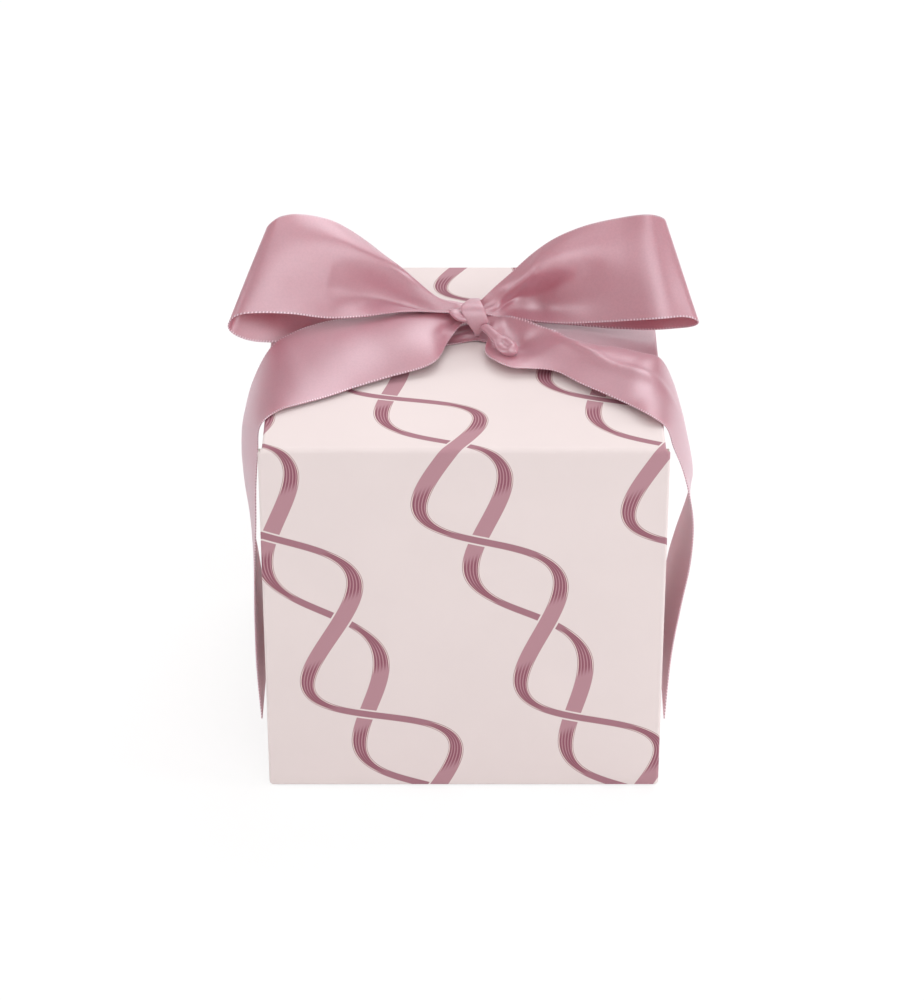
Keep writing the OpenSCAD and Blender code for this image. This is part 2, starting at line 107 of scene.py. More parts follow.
def fan(point, ring):
    """Triangles from one point to the sides of a ring of points, all given by their numbers."""
    return np.stack([np.full(len(ring), point), ring, np.roll(ring, -1)], -1)


def grid_normals(grid, ring=False):
    """Unit normals of a grid surface: the cross product of its differences along and across."""
    if ring:
        along = np.roll(grid, -1, 0) - np.roll(grid, 1, 0)
    else:
        along = np.gradient(grid, axis=0)
    normal = np.cross(along, np.gradient(grid, axis=1))
    return normal / np.maximum(np.linalg.norm(normal, axis=2, keepdims=True), 1e-9)


def cloth_piece(name, grid, thickness, ring=False):
    """A closed thin sheet: the middle surface moved half a thickness each way along its normal, and its
    rims. Its uv map, in metres, runs along the middle line and over the ribbon's width across. Gives the
    piece and the middle line's length."""
    rows, cols = grid.shape[:2]
    shift = grid_normals(grid, ring) * thickness / 2
    points = np.concatenate([grid + shift, grid - shift]).reshape(-1, 3)
    low = rows * cols
    number = np.arange(low).reshape(rows, cols)
    other_way = [0, 3, 2, 1]

    def rim(line):
        """Quads between the points of one rim and those below them."""
        here, after = (line, np.roll(line, -1)) if ring else (line[:-1], line[1:])
        return np.stack([here, after, after + low, here + low], -1)

    faces = [grid_faces(rows, cols, 0, ring), grid_faces(rows, cols, low, ring)[:, ::-1],
             rim(number[:, 0])[:, other_way], rim(number[:, -1])]
    if not ring:
        faces += [rim(number[0]), rim(number[-1])[:, other_way]]
    steps = np.linalg.norm(np.diff(grid[:, cols // 2], axis=0), axis=1)
    length = np.concatenate([[0], np.cumsum(steps)])
    u = np.broadcast_to(length[:, None], (rows, cols))
    v = np.broadcast_to(np.linspace(0, RIBBON_W, cols)[None], (rows, cols))
    uv = np.tile(np.stack([u, v], -1).reshape(-1, 2) * MM, (2, 1))
    return add_piece(name, points, np.concatenate(faces), uv), length[-1] * MM


def smooth_rows(rows, steps):
    """Rows of a drawn table joined by Catmull-Rom curves. At part t of the way from row b to row c, with
    a before them and d after, it is (2b + t(c-a) + t^2(2a-5b+4c-d) + t^3(3b-a-3c+d)) / 2."""
    rows = np.asarray(rows, float)
    more = np.vstack([2 * rows[0] - rows[1], rows, 2 * rows[-1] - rows[-2]])
    a, b, c, d = (more[k:k + len(rows) - 1, None, :] for k in range(4))
    t = (np.arange(steps) / steps)[None, :, None]
    curve = (2 * b + t * (c - a) + t**2 * (2 * a - 5 * b + 4 * c - d) + t**3 * (3 * b - a - 3 * c + d)) / 2
    return np.vstack([curve.reshape(-1, rows.shape[1]), rows[-1:]])


def ribbon_surface(rows, side, pleats, steps=10, across=41):
    """The middle surface of a length of ribbon, P(u, v) = near + v (far - near) + n h, with v from 0 to 1
    across. The table's rows give the edges near and far, the bulge b and the S-bend s. With w the width
    there and n the normal, turned upward by the sign of side, h = w (4 b v (1 - v) - s sin(2 pi v)). Each
    pleat (v0, v1, wide, deep, start, end) adds deep sin(pi part) exp(-((v - centre) / wide)^2) to h,
    where part goes from 0 to 1 between rows start and end, and the centre from v0 to v1."""
    line = smooth_rows(rows, steps)
    near, far = line[:, :3], line[:, 3:6]
    width = np.linalg.norm(far - near, axis=1, keepdims=True)
    a, b = (np.pad(edge, ((1, 1), (0, 0)), "edge") for edge in (near, far))
    up = np.cross(a[2:] - a[:-2] + b[2:] - b[:-2], far - near)
    up *= side / np.linalg.norm(up, axis=1, keepdims=True)
    v = np.linspace(0, 1, across)[None, :]
    rise = width * (line[:, 6:7] * 4 * v * (1 - v) - line[:, 7:8] * np.sin(TURN * v))
    place = np.arange(len(line))[:, None] / steps
    for v0, v1, wide, deep, start, end in pleats:
        part = np.clip((place - start) / (end - start), 0, 1)
        centre = v0 + (v1 - v0) * part
        rise = rise + deep * np.sin(np.pi * part) * np.exp(-((v - centre) / wide) ** 2)
    return near[:, None] + v[..., None] * (far - near)[:, None] + up[:, None] * rise[..., None] + BOW


def wrapped_board(name, half_w, half_h, depth, corner, middle, out):
    """Paper over a board: rings of a rounded rectangle, x = +-(half_w - corner) + r cos t, and the same
    in height with half_h and sin t, where r is the corner's radius less an inset. Over the front edge the
    inset is PAPER_BEND (1 - sin s) at a depth of PAPER_BEND (1 - cos s), and over the back edge it is the
    reverse. One point amid the front and one amid the back close it. The front faces the way that out
    says."""
    turn = np.linspace(0, np.pi / 2, 7)
    inset, sunk = PAPER_BEND * (1 - np.sin(turn)), PAPER_BEND * (1 - np.cos(turn))
    t = np.concatenate([quarter * np.pi / 2 + np.linspace(0, np.pi / 2, 9) for quarter in range(4)])
    right = np.repeat([1, -1, -1, 1], 9)
    upper = np.repeat([1, 1, -1, -1], 9)
    radius = corner - np.concatenate([inset, inset[::-1]])[:, None]
    x = right * (half_w - corner) + radius * np.cos(t)
    z = upper * (half_h - corner) + radius * np.sin(t)
    y = np.broadcast_to(np.concatenate([sunk, depth - sunk[::-1]])[:, None], x.shape)
    rings, around = x.shape
    points = np.concatenate([[[0, 0, 0]], np.stack([x, y, z], -1).reshape(-1, 3), [[0, depth, 0]]])
    first = 1 + np.arange(around)
    last = first + (rings - 1) * around
    triangles = np.concatenate([fan(0, first), fan(len(points) - 1, last)[:, [0, 2, 1]],
                                halves(grid_faces(rings, around, 1, ring_cols=True))])
    if out == "-y":
        place = points
    elif out == "+y":
        place = points * [-1, -1, 1]
    else:  # +z: the board's height lies along y and its back is below
        place = np.stack([points[:, 0], points[:, 2], -points[:, 1]], -1)
    piece = add_piece(name, place + np.array(middle), triangles)
    piece.modifiers.new("crisp faces", "WEIGHTED_NORMAL").keep_sharp = False
    return piece


# ---------------------------------------------------------------- finishes

class Value:
    """A number worked out by nodes; sums and products of Values make Math nodes."""

    def __init__(self, tree, socket):
        self.tree, self.socket = tree, socket

    def math(self, kind, *others):
        node = self.tree.nodes.new("ShaderNodeMath")
        node.operation = kind
        for slot, item in zip(node.inputs, (self, *others)):
            if isinstance(item, Value):
                self.tree.links.new(item.socket, slot)
            else:
                slot.default_value = item
        return Value(self.tree, node.outputs[0])

    def __add__(self, other):
        return self.math("ADD", other)

    def __sub__(self, other):
        return self.math("SUBTRACT", other)

    def __mul__(self, other):
        return self.math("MULTIPLY", other)

    def __truediv__(self, other):
        return self.math("DIVIDE", other)

    def sin(self):
        return self.math("SINE")

    def cos(self):
        return self.math("COSINE")

    def abs(self):
        return self.math("ABSOLUTE")

    def floor(self):
        return self.math("FLOOR")

    def fract(self):
        return self.math("FRACT")

    def sqrt(self):
        return self.math("SQRT")

    def top(self, other):
        return self.math("MAXIMUM", other)

    def step(self, a, b, c=0.0, d=1.0):
        """Rises smoothly from c to d as the value goes from a to b."""
        node = self.tree.nodes.new("ShaderNodeMapRange")
        node.interpolation_type = "SMOOTHSTEP"
        self.tree.links.new(self.socket, node.inputs["Value"])
        for name, number in zip(("From Min", "From Max", "To Min", "To Max"), (a, b, c, d)):
            node.inputs[name].default_value = number
        return Value(self.tree, node.outputs["Result"])


def wave(value, spacing):
    """A sine that repeats once in every spacing."""
    return (value * (TURN / spacing)).sin()


def srgb(r, g, b):
    """A colour written as 0 to 255 in sRGB, in linear values."""
    parts = (c / 255 for c in (r, g, b))
    return (*(c / 12.92 if c <= 0.04045 else ((c + 0.055) / 1.055) ** 2.4 for c in parts), 1.0)


def darker(colour, share):
    """The same colour with each of its three parts scaled."""
    return (*(c * share for c in colour[:3]), 1.0)


def new_material(name, rough, specular):
    """A material, its node tree and its shader."""
    material = bpy.data.materials.new(name)
    material.use_nodes = True
    shader = material.node_tree.nodes["Principled BSDF"]
    shader.inputs["Roughness"].default_value = rough
    shader.inputs["Specular IOR Level"].default_value = specular
    return material, material.node_tree, shader


def split_mm(tree, socket):
    """The three parts of a place in metres, in millimetres."""
    split = tree.nodes.new("ShaderNodeSeparateXYZ")
    tree.links.new(socket, split.inputs[0])
    return [Value(tree, part) * 1000.0 for part in split.outputs]


def coordinates(tree):
    """The place on the box."""
    return tree.nodes.new("ShaderNodeTexCoord").outputs["Object"]


def noise(tree, place, scale, detail=3.0, rough=0.5):
    """Cloudy noise from 0 to 1, about scale clouds to the metre."""
    node = tree.nodes.new("ShaderNodeTexNoise")
    node.inputs["Scale"].default_value = scale
    node.inputs["Detail"].default_value = detail
    node.inputs["Roughness"].default_value = rough
    tree.links.new(place, node.inputs["Vector"])
    return Value(tree, node.outputs["Fac"])


def blend_colours(tree, amount, first, second):
    """First where amount is 0, second where it is 1; a colour is a tuple or a socket."""
    node = tree.nodes.new("ShaderNodeMix")
    node.data_type = "RGBA"
    tree.links.new(amount.socket, node.inputs[0])
    for slot, colour in ((node.inputs[6], first), (node.inputs[7], second)):
        if isinstance(colour, tuple):
            slot.default_value = colour
        else:
            tree.links.new(colour, slot)
    return node.outputs[2]


def add_bump(tree, shader, height, strength, distance):
    """Fine relief on a shader; distance is metres."""
    bump = tree.nodes.new("ShaderNodeBump")
    bump.inputs["Strength"].default_value = strength
    bump.inputs["Distance"].default_value = distance
    tree.links.new(height.socket, bump.inputs["Height"])
    tree.links.new(bump.outputs["Normal"], shader.inputs["Normal"])


PAPER = srgb(241, 229, 228)
STREAMER = srgb(190, 145, 155)
STREAMER_BACK = srgb(172, 124, 136)
PLEAT = srgb(150, 92, 108)
CREAM = srgb(246, 233, 226)

ROW_LEAN = math.radians(24)     # how far the rows of streamers lean from upright
ROW_PITCH = 61.0                # from one row to the next, mm
ROW_START = 13.0                # where the rows are counted from, mm
CURL_LENGTH = 74.0              # one whole curl of a streamer, mm
CURL_SHIFT = 2.4                # how far round its curl each row starts after the last, radians
PARTNER_SHIFT = 2.5             # how far the second streamer of a pair is ahead, radians
OVER_REACH, OVER_SWAY = 16.0, 2.5    # how far the upper one swings from the row's middle, and varies, mm
UNDER_REACH, UNDER_SWAY = 11.5, 2.0  # the same for the one that it passes over
HALF_BEHIND, HALF_BEFORE = 1.25, 2.7  # half a streamer's width as it passes behind and in front, mm
CREAM_INSET = 0.32              # the cream line's distance from the edge, mm
PLEAT_LINES = 2.6               # pleat lines in half a streamer's width


def streamer_strand(tree, here, angle, reach):
    """One curled streamer, seen from the place here across its row. Its middle is at reach sin(angle),
    and away is the distance from that over the root of 1 + slope^2. It is widest where it passes in
    front, darker where it passes behind, and has pleat lines and cream lines in its bends. Gives how far
    the place lies outside its edge, and its colour."""
    facing = angle.cos()
    slope = facing * (reach * (TURN / CURL_LENGTH))
    away = (here - angle.sin() * reach) / (slope * slope + 1.0).sqrt()
    half = facing.step(-0.8, 0.6, HALF_BEHIND, HALF_BEFORE)
    outside = away.abs() - half
    bend = angle.sin().abs().step(0.62, 0.84)
    pleats = ((away / half) * PLEAT_LINES + 0.5).fract().step(0.28, 0.46) * bend
    cream = (outside + CREAM_INSET).abs().step(0.05, 0.2, 1.0, 0.0) * bend
    tone = blend_colours(tree, facing.step(-0.3, 0.2, 1.0, 0.0), STREAMER, STREAMER_BACK)
    tone = blend_colours(tree, pleats, tone, PLEAT)
    return outside, blend_colours(tree, cream, tone, CREAM)


def streamer_print(tree, x, w):
    """Pairs of curled paper streamers that wind about each other in slanting rows, with q along a row and
    p across it. One passes over the other, which stops short of it by a thin gap. Gives where the print
    is, and its colour."""
    p = x * math.cos(ROW_LEAN) + w * math.sin(ROW_LEAN) + ROW_START
    q = w * math.cos(ROW_LEAN) - x * math.sin(ROW_LEAN)
    row = (p / ROW_PITCH + 0.5).floor()
    here = p - row * ROW_PITCH
    angle = q * (TURN / CURL_LENGTH) + row * CURL_SHIFT
    slow = angle * 0.5
    over_reach = (slow + row * 1.3).sin() * OVER_SWAY + OVER_REACH
    under_reach = (slow + row * 0.7).cos() * UNDER_SWAY + UNDER_REACH
    over, over_tone = streamer_strand(tree, here, angle, over_reach)
    under, under_tone = streamer_strand(tree, here, angle + PARTNER_SHIFT, under_reach)
    top = over.step(-0.1, 0.1, 1.0, 0.0)
    beneath = under.step(-0.1, 0.1, 1.0, 0.0) * over.step(0.5, 0.7)
    return top.top(beneath), blend_colours(tree, top, under_tone, over_tone)


def paper(name, unrolled=None, ground=PAPER, rough=0.62):
    """Covering paper: a faint fibre and tooth, and the print where unrolled gives its flat coordinates."""
    material, tree, shader = new_material(name, rough, 0.22)
    place = coordinates(tree)
    cloud = noise(tree, place, 34.0, 4.0)
    colour = blend_colours(tree, cloud.step(0.35, 0.65), ground, darker(ground, 0.985))
    tooth = noise(tree, place, 2600.0, 2.0, 0.6)
    if unrolled:
        stroke, tone = streamer_print(tree, *unrolled(*split_mm(tree, place)))
        colour = blend_colours(tree, stroke, colour, tone)
        tooth = tooth + stroke * 0.25
    tree.links.new(colour, shader.inputs["Base Color"])
    add_bump(tree, shader, tooth, 0.12, 0.0001)
    return material


def grey_board():
    """Bare board with its fibres."""
    material, tree, shader = new_material("grey board", 0.9, 0.1)
    fibre = noise(tree, coordinates(tree), 900.0, 5.0, 0.7)
    colour = blend_colours(tree, fibre.step(0.3, 0.7), srgb(168, 160, 148), srgb(190, 183, 172))
    tree.links.new(colour, shader.inputs["Base Color"])
    add_bump(tree, shader, fibre, 0.3, 0.0002)
    return material


def plated(name, colour, rough):
    """Plated metal with a fine grain."""
    material, tree, shader = new_material(name, rough, 0.5)
    shader.inputs["Metallic"].default_value = 1.0
    grain = noise(tree, coordinates(tree), 1200.0)
    tree.links.new(blend_colours(tree, grain, colour, darker(colour, 0.8)), shader.inputs["Base Color"])
    return material


RIB, WARP = 0.34, 0.3    # spacing of the satin's cross ribs and of its warp threads, mm
STITCH = 0.95            # spacing of the selvedge's stitches, mm
SELVEDGE = 0.7           # width of the selvedge, mm
SELVEDGE_SOFT = 0.15     # how much of that is its soft inner side, mm


def satin():
    """Satin ribbon: close cross ribs and warp threads in the weave, a selvedge of tiny pale stitches."""
    material, tree, shader = new_material("rose satin", 0.39, 0.5)
    shader.inputs["IOR"].default_value = 2.8
    shader.inputs["Specular Tint"].default_value = srgb(252, 248, 255)
    shader.inputs["Sheen Weight"].default_value = 0.55
    shader.inputs["Sheen Roughness"].default_value = 0.4
    shader.inputs["Sheen Tint"].default_value = srgb(250, 240, 248)
    shader.inputs["Subsurface Weight"].default_value = 0.35
    shader.inputs["Subsurface Radius"].default_value = (1.0, 0.35, 0.4)
    shader.inputs["Subsurface Scale"].default_value = 0.002
    uv = tree.nodes.new("ShaderNodeUVMap")
    uv.uv_map = "cloth"
    along, across, _ = split_mm(tree, uv.outputs[0])
    inner = RIBBON_W / 2 - SELVEDGE
    selvedge = (across - RIBBON_W / 2).abs().step(inner, inner + SELVEDGE_SOFT)
    stitches = selvedge * wave(along, STITCH).step(0.1, 0.5)
    slub = noise(tree, coordinates(tree), 1500.0)
    colour = blend_colours(tree, slub.step(0.3, 0.7), srgb(190, 125, 139), srgb(183, 118, 132))
    colour = blend_colours(tree, selvedge, colour, srgb(168, 108, 122))
    colour = blend_colours(tree, stitches, colour, srgb(232, 200, 210))
    tree.links.new(colour, shader.inputs["Base Color"])
    relief = wave(along, RIB) * 0.3 + wave(across, WARP) * 0.2 + slub * 0.15 + stitches * 2.0
    add_bump(tree, shader, relief, 0.14, 0.00012)
    return material


def dress(piece, material, body):
    """Gives a new piece its material, and lets it move with a body unless it is blended."""
    piece.data.materials.append(material)
    if body:
        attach(piece, body)
    return piece


def repaint(nodes, material):
    """Gives solids of the frame a material, in every slot that they have."""
    for node in nodes:
        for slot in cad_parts[node].material_slots:
            slot.material = material


# ---------------------------------------------------------------- papers and boards

# the sheet laid flat: up the front, back over the lid, down the back
PRINT_FRONT = paper("printed paper front", lambda x, y, z: (x, z + y + BOX_D / 2))
PRINT_BACK = paper("printed paper back", lambda x, y, z: (x, y - z + 2 * BOX_H + BOX_D / 2))
PRINT_SIDE = paper("printed paper sides", lambda x, y, z: (x + y, z))
PLAIN = paper("plain paper")
LINING = paper("lining paper", ground=srgb(244, 238, 234), rough=0.75)
GREY_BOARD = grey_board()
STEEL = plated("zinc plated steel", srgb(176, 178, 182), 0.35)
NICKEL = plated("nickel plated magnet", srgb(196, 194, 190), 0.22)

flap_cover = wrapped_board("flap_cover", PANEL_HALF_W, half_h=64.4, depth=2.55, corner=1.5,
                           middle=(0, -BOX_D / 2, 64.9), out="-y")
dress(flap_cover, PRINT_FRONT, "flap")
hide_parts("flap_paper")

lid_cover = wrapped_board("lid_cover", LID_HALF_W, half_h=61.1, depth=2.55, corner=1.3,
                          middle=(0, 0, BOX_H), out="+z")
dress(lid_cover, PRINT_FRONT, "lid")
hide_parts("lid_paper")

back_cover = wrapped_board("back_cover", PANEL_HALF_W, half_h=64.45, depth=2.32, corner=1.5,
                           middle=(0, BOX_D / 2, 64.95), out="+y")
dress(back_cover, PRINT_BACK, "tray")
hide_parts("back_paper")


def hinge_strip(name, s):
    """The printed paper that bends at a hinge, the front one where s is -1 and the rear one where it is
    1: flat on the lid, a quarter turn of radius FOLD_R round the fold, and flat down the panel. At its
    ends it turns down the boards' sides by PAPER_BEND, then straight, as far as the fold's centre. Its
    half width grows from the lid's to the panel's over the turn, and its rims sink in a little."""
    flat_from, flat_to = 59.0, 125.0     # where it starts on the lid, in y, and ends on the panel, in z
    proud, sunk, fade = 0.02, 0.12, 1.2  # how far it stands out, and its rims sink over how many rows
    fold = BOX_D / 2 - FOLD_R
    turn = np.linspace(0, np.pi / 2, 17)[1:-1]
    y = np.concatenate([np.linspace(flat_from, fold, 9), fold + FOLD_R * np.sin(turn),
                        np.full(9, BOX_D / 2)])
    z = np.concatenate([np.full(9, BOX_H), BOX_H - FOLD_R * (1 - np.cos(turn)),
                        np.linspace(BOX_H - FOLD_R, flat_to, 9)])
    out_y = np.concatenate([np.zeros(9), np.sin(turn), np.ones(9)])
    out_z = np.concatenate([np.ones(9), np.cos(turn), np.zeros(9)])
    growth = (PANEL_HALF_W - LID_HALF_W) * (1 - np.cos(turn))
    wide = np.concatenate([np.full(9, LID_HALF_W), LID_HALF_W + growth, np.full(9, PANEL_HALF_W)])[:, None]
    to_rim = np.minimum(np.arange(len(y)), np.arange(len(y))[::-1])
    lift = (proud - sunk * np.exp(-to_rim / fade))[:, None]
    bend = np.linspace(np.pi / 2, 0, 9)
    inward = np.concatenate([np.zeros(3), PAPER_BEND * (1 - np.sin(bend)),
                             np.linspace(PAPER_BEND, LID_HALF_W, 24)[1:]])
    drop = np.concatenate([[1.68, 1.45, 1.15], PAPER_BEND * (1 - np.cos(bend)), np.zeros(23)])
    half = wide - inward
    x = np.concatenate([-half, half[:, -2::-1]], 1)
    deep = np.concatenate([drop, drop[-2::-1]]) - lift * (np.abs(x) < 0.995 * wide)
    x = x + lift * np.sign(x) * (np.abs(x) > 0.985 * wide)
    grid = np.stack([x, s * (y[:, None] - deep * out_y[:, None]), z[:, None] - deep * out_z[:, None]], -1)
    if s > 0:
        grid = grid[:, ::-1]
    return cloth_piece(name, grid - grid_normals(grid) * HINGE_PAPER / 2, HINGE_PAPER)[0]


front_fold = dress(hinge_strip("front_fold", -1), PRINT_FRONT, None)
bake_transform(front_fold)
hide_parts("hinge_paper_front")
rear_fold = dress(hinge_strip("rear_fold", 1), PRINT_BACK, None)
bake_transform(rear_fold)
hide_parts("hinge_paper_rear")

repaint(("base_board", "back_board", "tray_front_board", "tray_back_board", "tray_left_board",
         "tray_right_board", "tray_floor_board", "lid_board", "flap_board"), GREY_BOARD)
repaint(("base_paper",), PLAIN)
repaint(("tray_wrap",), PRINT_SIDE)
repaint(("tray_liner", "lid_liner", "flap_liner"), LINING)
repaint(("plate_left", "plate_right"), STEEL)
repaint(("magnet_left", "magnet_right"), NICKEL)


# ---------------------------------------------------------------- the bow

SATIN = satin()

# loops and tails, row by row: near edge x y z and far edge x y z, in mm from the bow's middle, then the bulge
# and the S-bend as parts of the width
LOOP_LEFT = [
    [3.7, -2.2, 9.1, 3.7, 3, 9.1, 0, 0],
    [-3, -3, 9.3, -2.5, 3.5, 10, 0, 0],
    [-10, -4.5, 10.5, -9, 4, 11.5, 0.02, 0.05],
    [-17, -6, 11.5, -17, 7.5, 16.5, 0.05, 0.12],
    [-24, -8, 12, -25, 9.5, 23, 0.09, 0.15],
    [-34, -10, 11.5, -34.5, 11, 30.5, 0.08, 0.12],
    [-45, -12, 12, -44, 12, 36, 0.07, 0.07],
    [-56, -13, 14, -54, 11.5, 38.5, 0.06, 0.03],
    [-66, -14, 15, -60, 9.5, 38.9, 0.04, 0],
    [-74, -14.5, 14.5, -63.2, 8.4, 37.4, 0.02, 0],
    [-77.5, -14, 11, -65.3, 9, 34.6, 0, 0],
    [-76.5, -13, 7, -64.6, 11.8, 31.6, -0.02, 0],
    [-71, -12.5, 4, -60, 17, 28, -0.04, 0],
    [-63, -11, 2.5, -54, 21, 21, -0.05, 0],
    [-52, -7, 1.6, -46, 25, 17, -0.05, 0],
    [-38, -5, 1.5, -35, 25, 15, -0.03, 0],
    [-24, -4, 2.2, -22, 20, 13.5, -0.02, 0],
    [-12, -3, 3.8, -11, 11, 9.5, 0, 0],
    [-4, -2.5, 4.6, -4, 3.5, 5.2, 0, 0],
    [3.7, -2.2, 4.9, 3.7, 3, 4.9, 0, 0]]

LOOP_RIGHT = [
    [4.3, -2.2, 9.1, 4.3, 3, 9.1, 0, 0],
    [10.5, -2.2, 7.6, 10, 4, 15, 0, 0],
    [16, -1.5, 7, 15.5, 6.5, 19, 0.03, 0.16],
    [24, -1, 5, 23, 9.5, 25, 0.06, 0.2],
    [33, -4, 5.8, 31, 11.5, 30, 0.08, 0.13],
    [43, -7.5, 8, 41, 12.5, 34, 0.08, 0.06],
    [54, -11, 10.5, 52, 12, 37, 0.07, 0.02],
    [65, -13.5, 12.6, 60, 10, 39.2, 0.04, 0],
    [73, -11.5, 12.2, 64.8, 11, 38, 0.02, 0],
    [77.5, -9.5, 9.6, 67, 12.5, 35.6, 0, 0],
    [76.5, -6.5, 6.2, 65.8, 16, 32.6, -0.02, 0],
    [71, -4, 4, 61, 20.5, 28, -0.04, 0],
    [62, -3.5, 3.2, 54, 24.5, 22.5, -0.04, 0],
    [50, -0.5, 2.2, 45, 29.5, 17.5, -0.04, 0],
    [37, 2.5, 1.8, 34, 28, 15.5, -0.03, 0],
    [24, 4, 2, 23, 20, 11, -0.02, 0],
    [15, 3, 3, 15, 11, 6.5, 0, 0],
    [10, -0.5, 4.2, 10.5, 4.2, 4.8, 0, 0],
    [4.3, -2.2, 4.9, 4.3, 3, 4.9, 0, 0]]

TAIL_LEFT = [
    [3.7, -4, 7, 3.7, 1, 7, 0, 0],
    [-0.5, -5, 6.4, -2, 1.5, 7.2, 0.02, 0],
    [-5.5, -14.5, 4.2, -9, 3, 7.6, 0.1, 0],
    [-8.5, -25, 3.8, -17, 1.5, 7.8, 0.12, 0],
    [-13.5, -29.7, 3, -25, -0.5, 8.4, 0.12, 0],
    [-24, -33.8, 1.9, -36, -4, 8.2, 0.1, 0],
    [-35, -40, 1.5, -46.5, -7, 7.8, 0.08, 0],
    [-44, -46, 1.3, -56, -12, 6.8, 0.05, 0],
    [-52, -50.6, 1.3, -63.5, -17, 3.8, 0.04, 0],
    [-59.5, -55.4, 1.4, -69.5, -22.5, -6, 0.05, 0],
    [-65, -61, -1, -72.5, -27, -17, 0.05, 0],
    [-66, -62, -10, -73.5, -28, -28, 0.04, 0],
    [-67, -62, -23, -73.5, -26, -37, 0.02, 0],
    [-67.5, -62, -38, -73, -24.5, -46, 0, 0],
    [-68.5, -61.5, -56, -71.5, -23.5, -59, 0, 0],
    [-69, -61, -74, -69.5, -23, -75, 0, 0],
    [-69, -60.5, -94, -68, -22.5, -92, 0, 0],
    [-68, -60, -115, -67, -22, -104, 0, 0]]

TAIL_RIGHT = [
    [4.3, -4, 7, 4.3, 1, 7, 0, 0],
    [8.8, -5.6, 5.6, 10.5, -2.8, 7.8, 0, 0],
    [7, -17.5, 3, 14.5, -4.5, 9, -0.2, -0.05],
    [10.5, -25.5, 3.4, 21, -7, 8.6, -0.2, -0.1],
    [16, -30, 3.4, 28, -11, 7.4, -0.08, -0.03],
    [22, -30, 3, 35, -15.5, 6.4, 0.06, 0.03],
    [30, -32, 3, 42.5, -21, 7, 0.09, 0.03],
    [38, -40, 2.8, 50, -23, 7, 0.08, 0.03],
    [46, -47, 2.6, 58, -25.5, 6.3, 0.08, 0.02],
    [53, -53.5, 2.5, 64.3, -26.5, 4.6, 0.08, 0.01],
    [59.5, -62, 3.2, 69, -23.5, -6, 0.06, 0],
    [64.5, -64, 0, 72, -27, -16, 0.05, 0],
    [67, -63.5, -7.5, 74.5, -29.5, -26, 0.03, 0],
    [70, -62.5, -15.5, 76, -29, -35, 0.02, 0],
    [72.5, -62, -25, 76, -25.5, -43, 0, 0],
    [74.5, -61, -38, 74.5, -23.5, -52, 0, 0],
    [74, -61, -53, 72, -22.5, -62, 0, 0],
    [71.5, -60.5, -70, 69.5, -22, -74, 0, 0],
    [69, -60, -90, 67.5, -22, -90, 0, 0],
    [67.5, -60, -115, 67, -22, -102, 0, 0]]


def bow_part(name, rows, side, pleats):
    """One length of the bow, from its table of rows."""
    piece, length = cloth_piece(name, ribbon_surface(rows, side, pleats), RIBBON_T)
    dress(piece, SATIN, "lid")
    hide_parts(name.replace("satin_", ""))


bow_part("satin_loop_left", LOOP_LEFT, -1, [
    (0.46, 0.38, 0.2, -4.0, 0.6, 6.0),
    (0.82, 0.8, 0.1, 0.7, 0.6, 4.5)])
bow_part("satin_loop_right", LOOP_RIGHT, 1, [
    (0.2, 0.95, 0.1, 1.0, 0.2, 3.6),
    (0.02, 0.75, 0.08, -0.8, 0.4, 3.4),
    (0.42, 0.5, 0.12, -1.8, 0.2, 5.5)])
bow_part("satin_tail_left", TAIL_LEFT, -1, [
    (0.7, 0.8, 0.08, 0.5, 0.6, 3.0),
    (0.35, 0.3, 0.1, -0.5, 0.6, 3.0)])
bow_part("satin_tail_right", TAIL_RIGHT, 1, [
    (1.05, 0.5, 0.09, 1.2, 3.6, 7.6),
    (0.5, 0.5, 0.09, 0.9, 6.2, 10.8)])


def band_surface():
    """The band round the lid: a flat path in x and z with corners of radius r. Below it has its full
    width. On top its half width is gathered + (full - gathered) sin(90 deg |x - knot| / (edge - knot)).
    With v from -1 to 1 across, pleats fan_deep exp(-|x - knot| / fan_reach) (1 + cos(3.5 pi v)) fan from
    the knot, and the cloth gathered there swells by swell_deep exp(-((x - knot) / swell_reach)^2) (1 -
    v^2)."""
    edge, high, low, r = 64.05, 0.35, -2.95, 0.6  # the path's ends, top, underside and corners
    gathered, full = 6.0, RIBBON_W / 2
    fan_deep, fan_reach = 0.3, 14.0
    swell_deep, swell_reach = 2.6, 8.0
    flat = np.linspace(-(edge - r), edge - r, 81)
    turn = np.linspace(0, np.pi / 2, 7)[1:-1]
    sine, cosine = r * np.sin(turn), r * np.cos(turn)
    x = np.concatenate([flat, edge - r + sine, edge - r + cosine,
                        flat[::-2], r - edge - sine, r - edge - cosine])
    z = np.concatenate([np.full(81, high), high - r + cosine, low + r - sine,
                        np.full(41, low), low + r - cosine, high - r + sine])
    top = np.arange(len(x)) < len(flat)
    from_knot = np.abs(x - KNOT_X)
    part = np.clip(from_knot / (edge - KNOT_X), 0, 1)
    half = np.where(top, gathered + (full - gathered) * np.sin(part * np.pi / 2), full)[:, None]
    pleats = np.where(top, fan_deep * np.exp(-from_knot / fan_reach), 0)[:, None]
    swell = np.where(top, swell_deep * np.exp(-(from_knot / swell_reach) ** 2), 0)[:, None]
    v = np.linspace(-1, 1, 41)[None]
    z = z[:, None] + pleats * (1 + np.cos(3.5 * np.pi * v)) + swell * (1 - v**2)
    return np.stack([np.broadcast_to(x[:, None], z.shape), v * half, z], -1) + BOW


band, band_length = cloth_piece("satin_band", band_surface(), RIBBON_T, ring=True)
dress(band, SATIN, "lid")
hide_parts("ribbon_band")


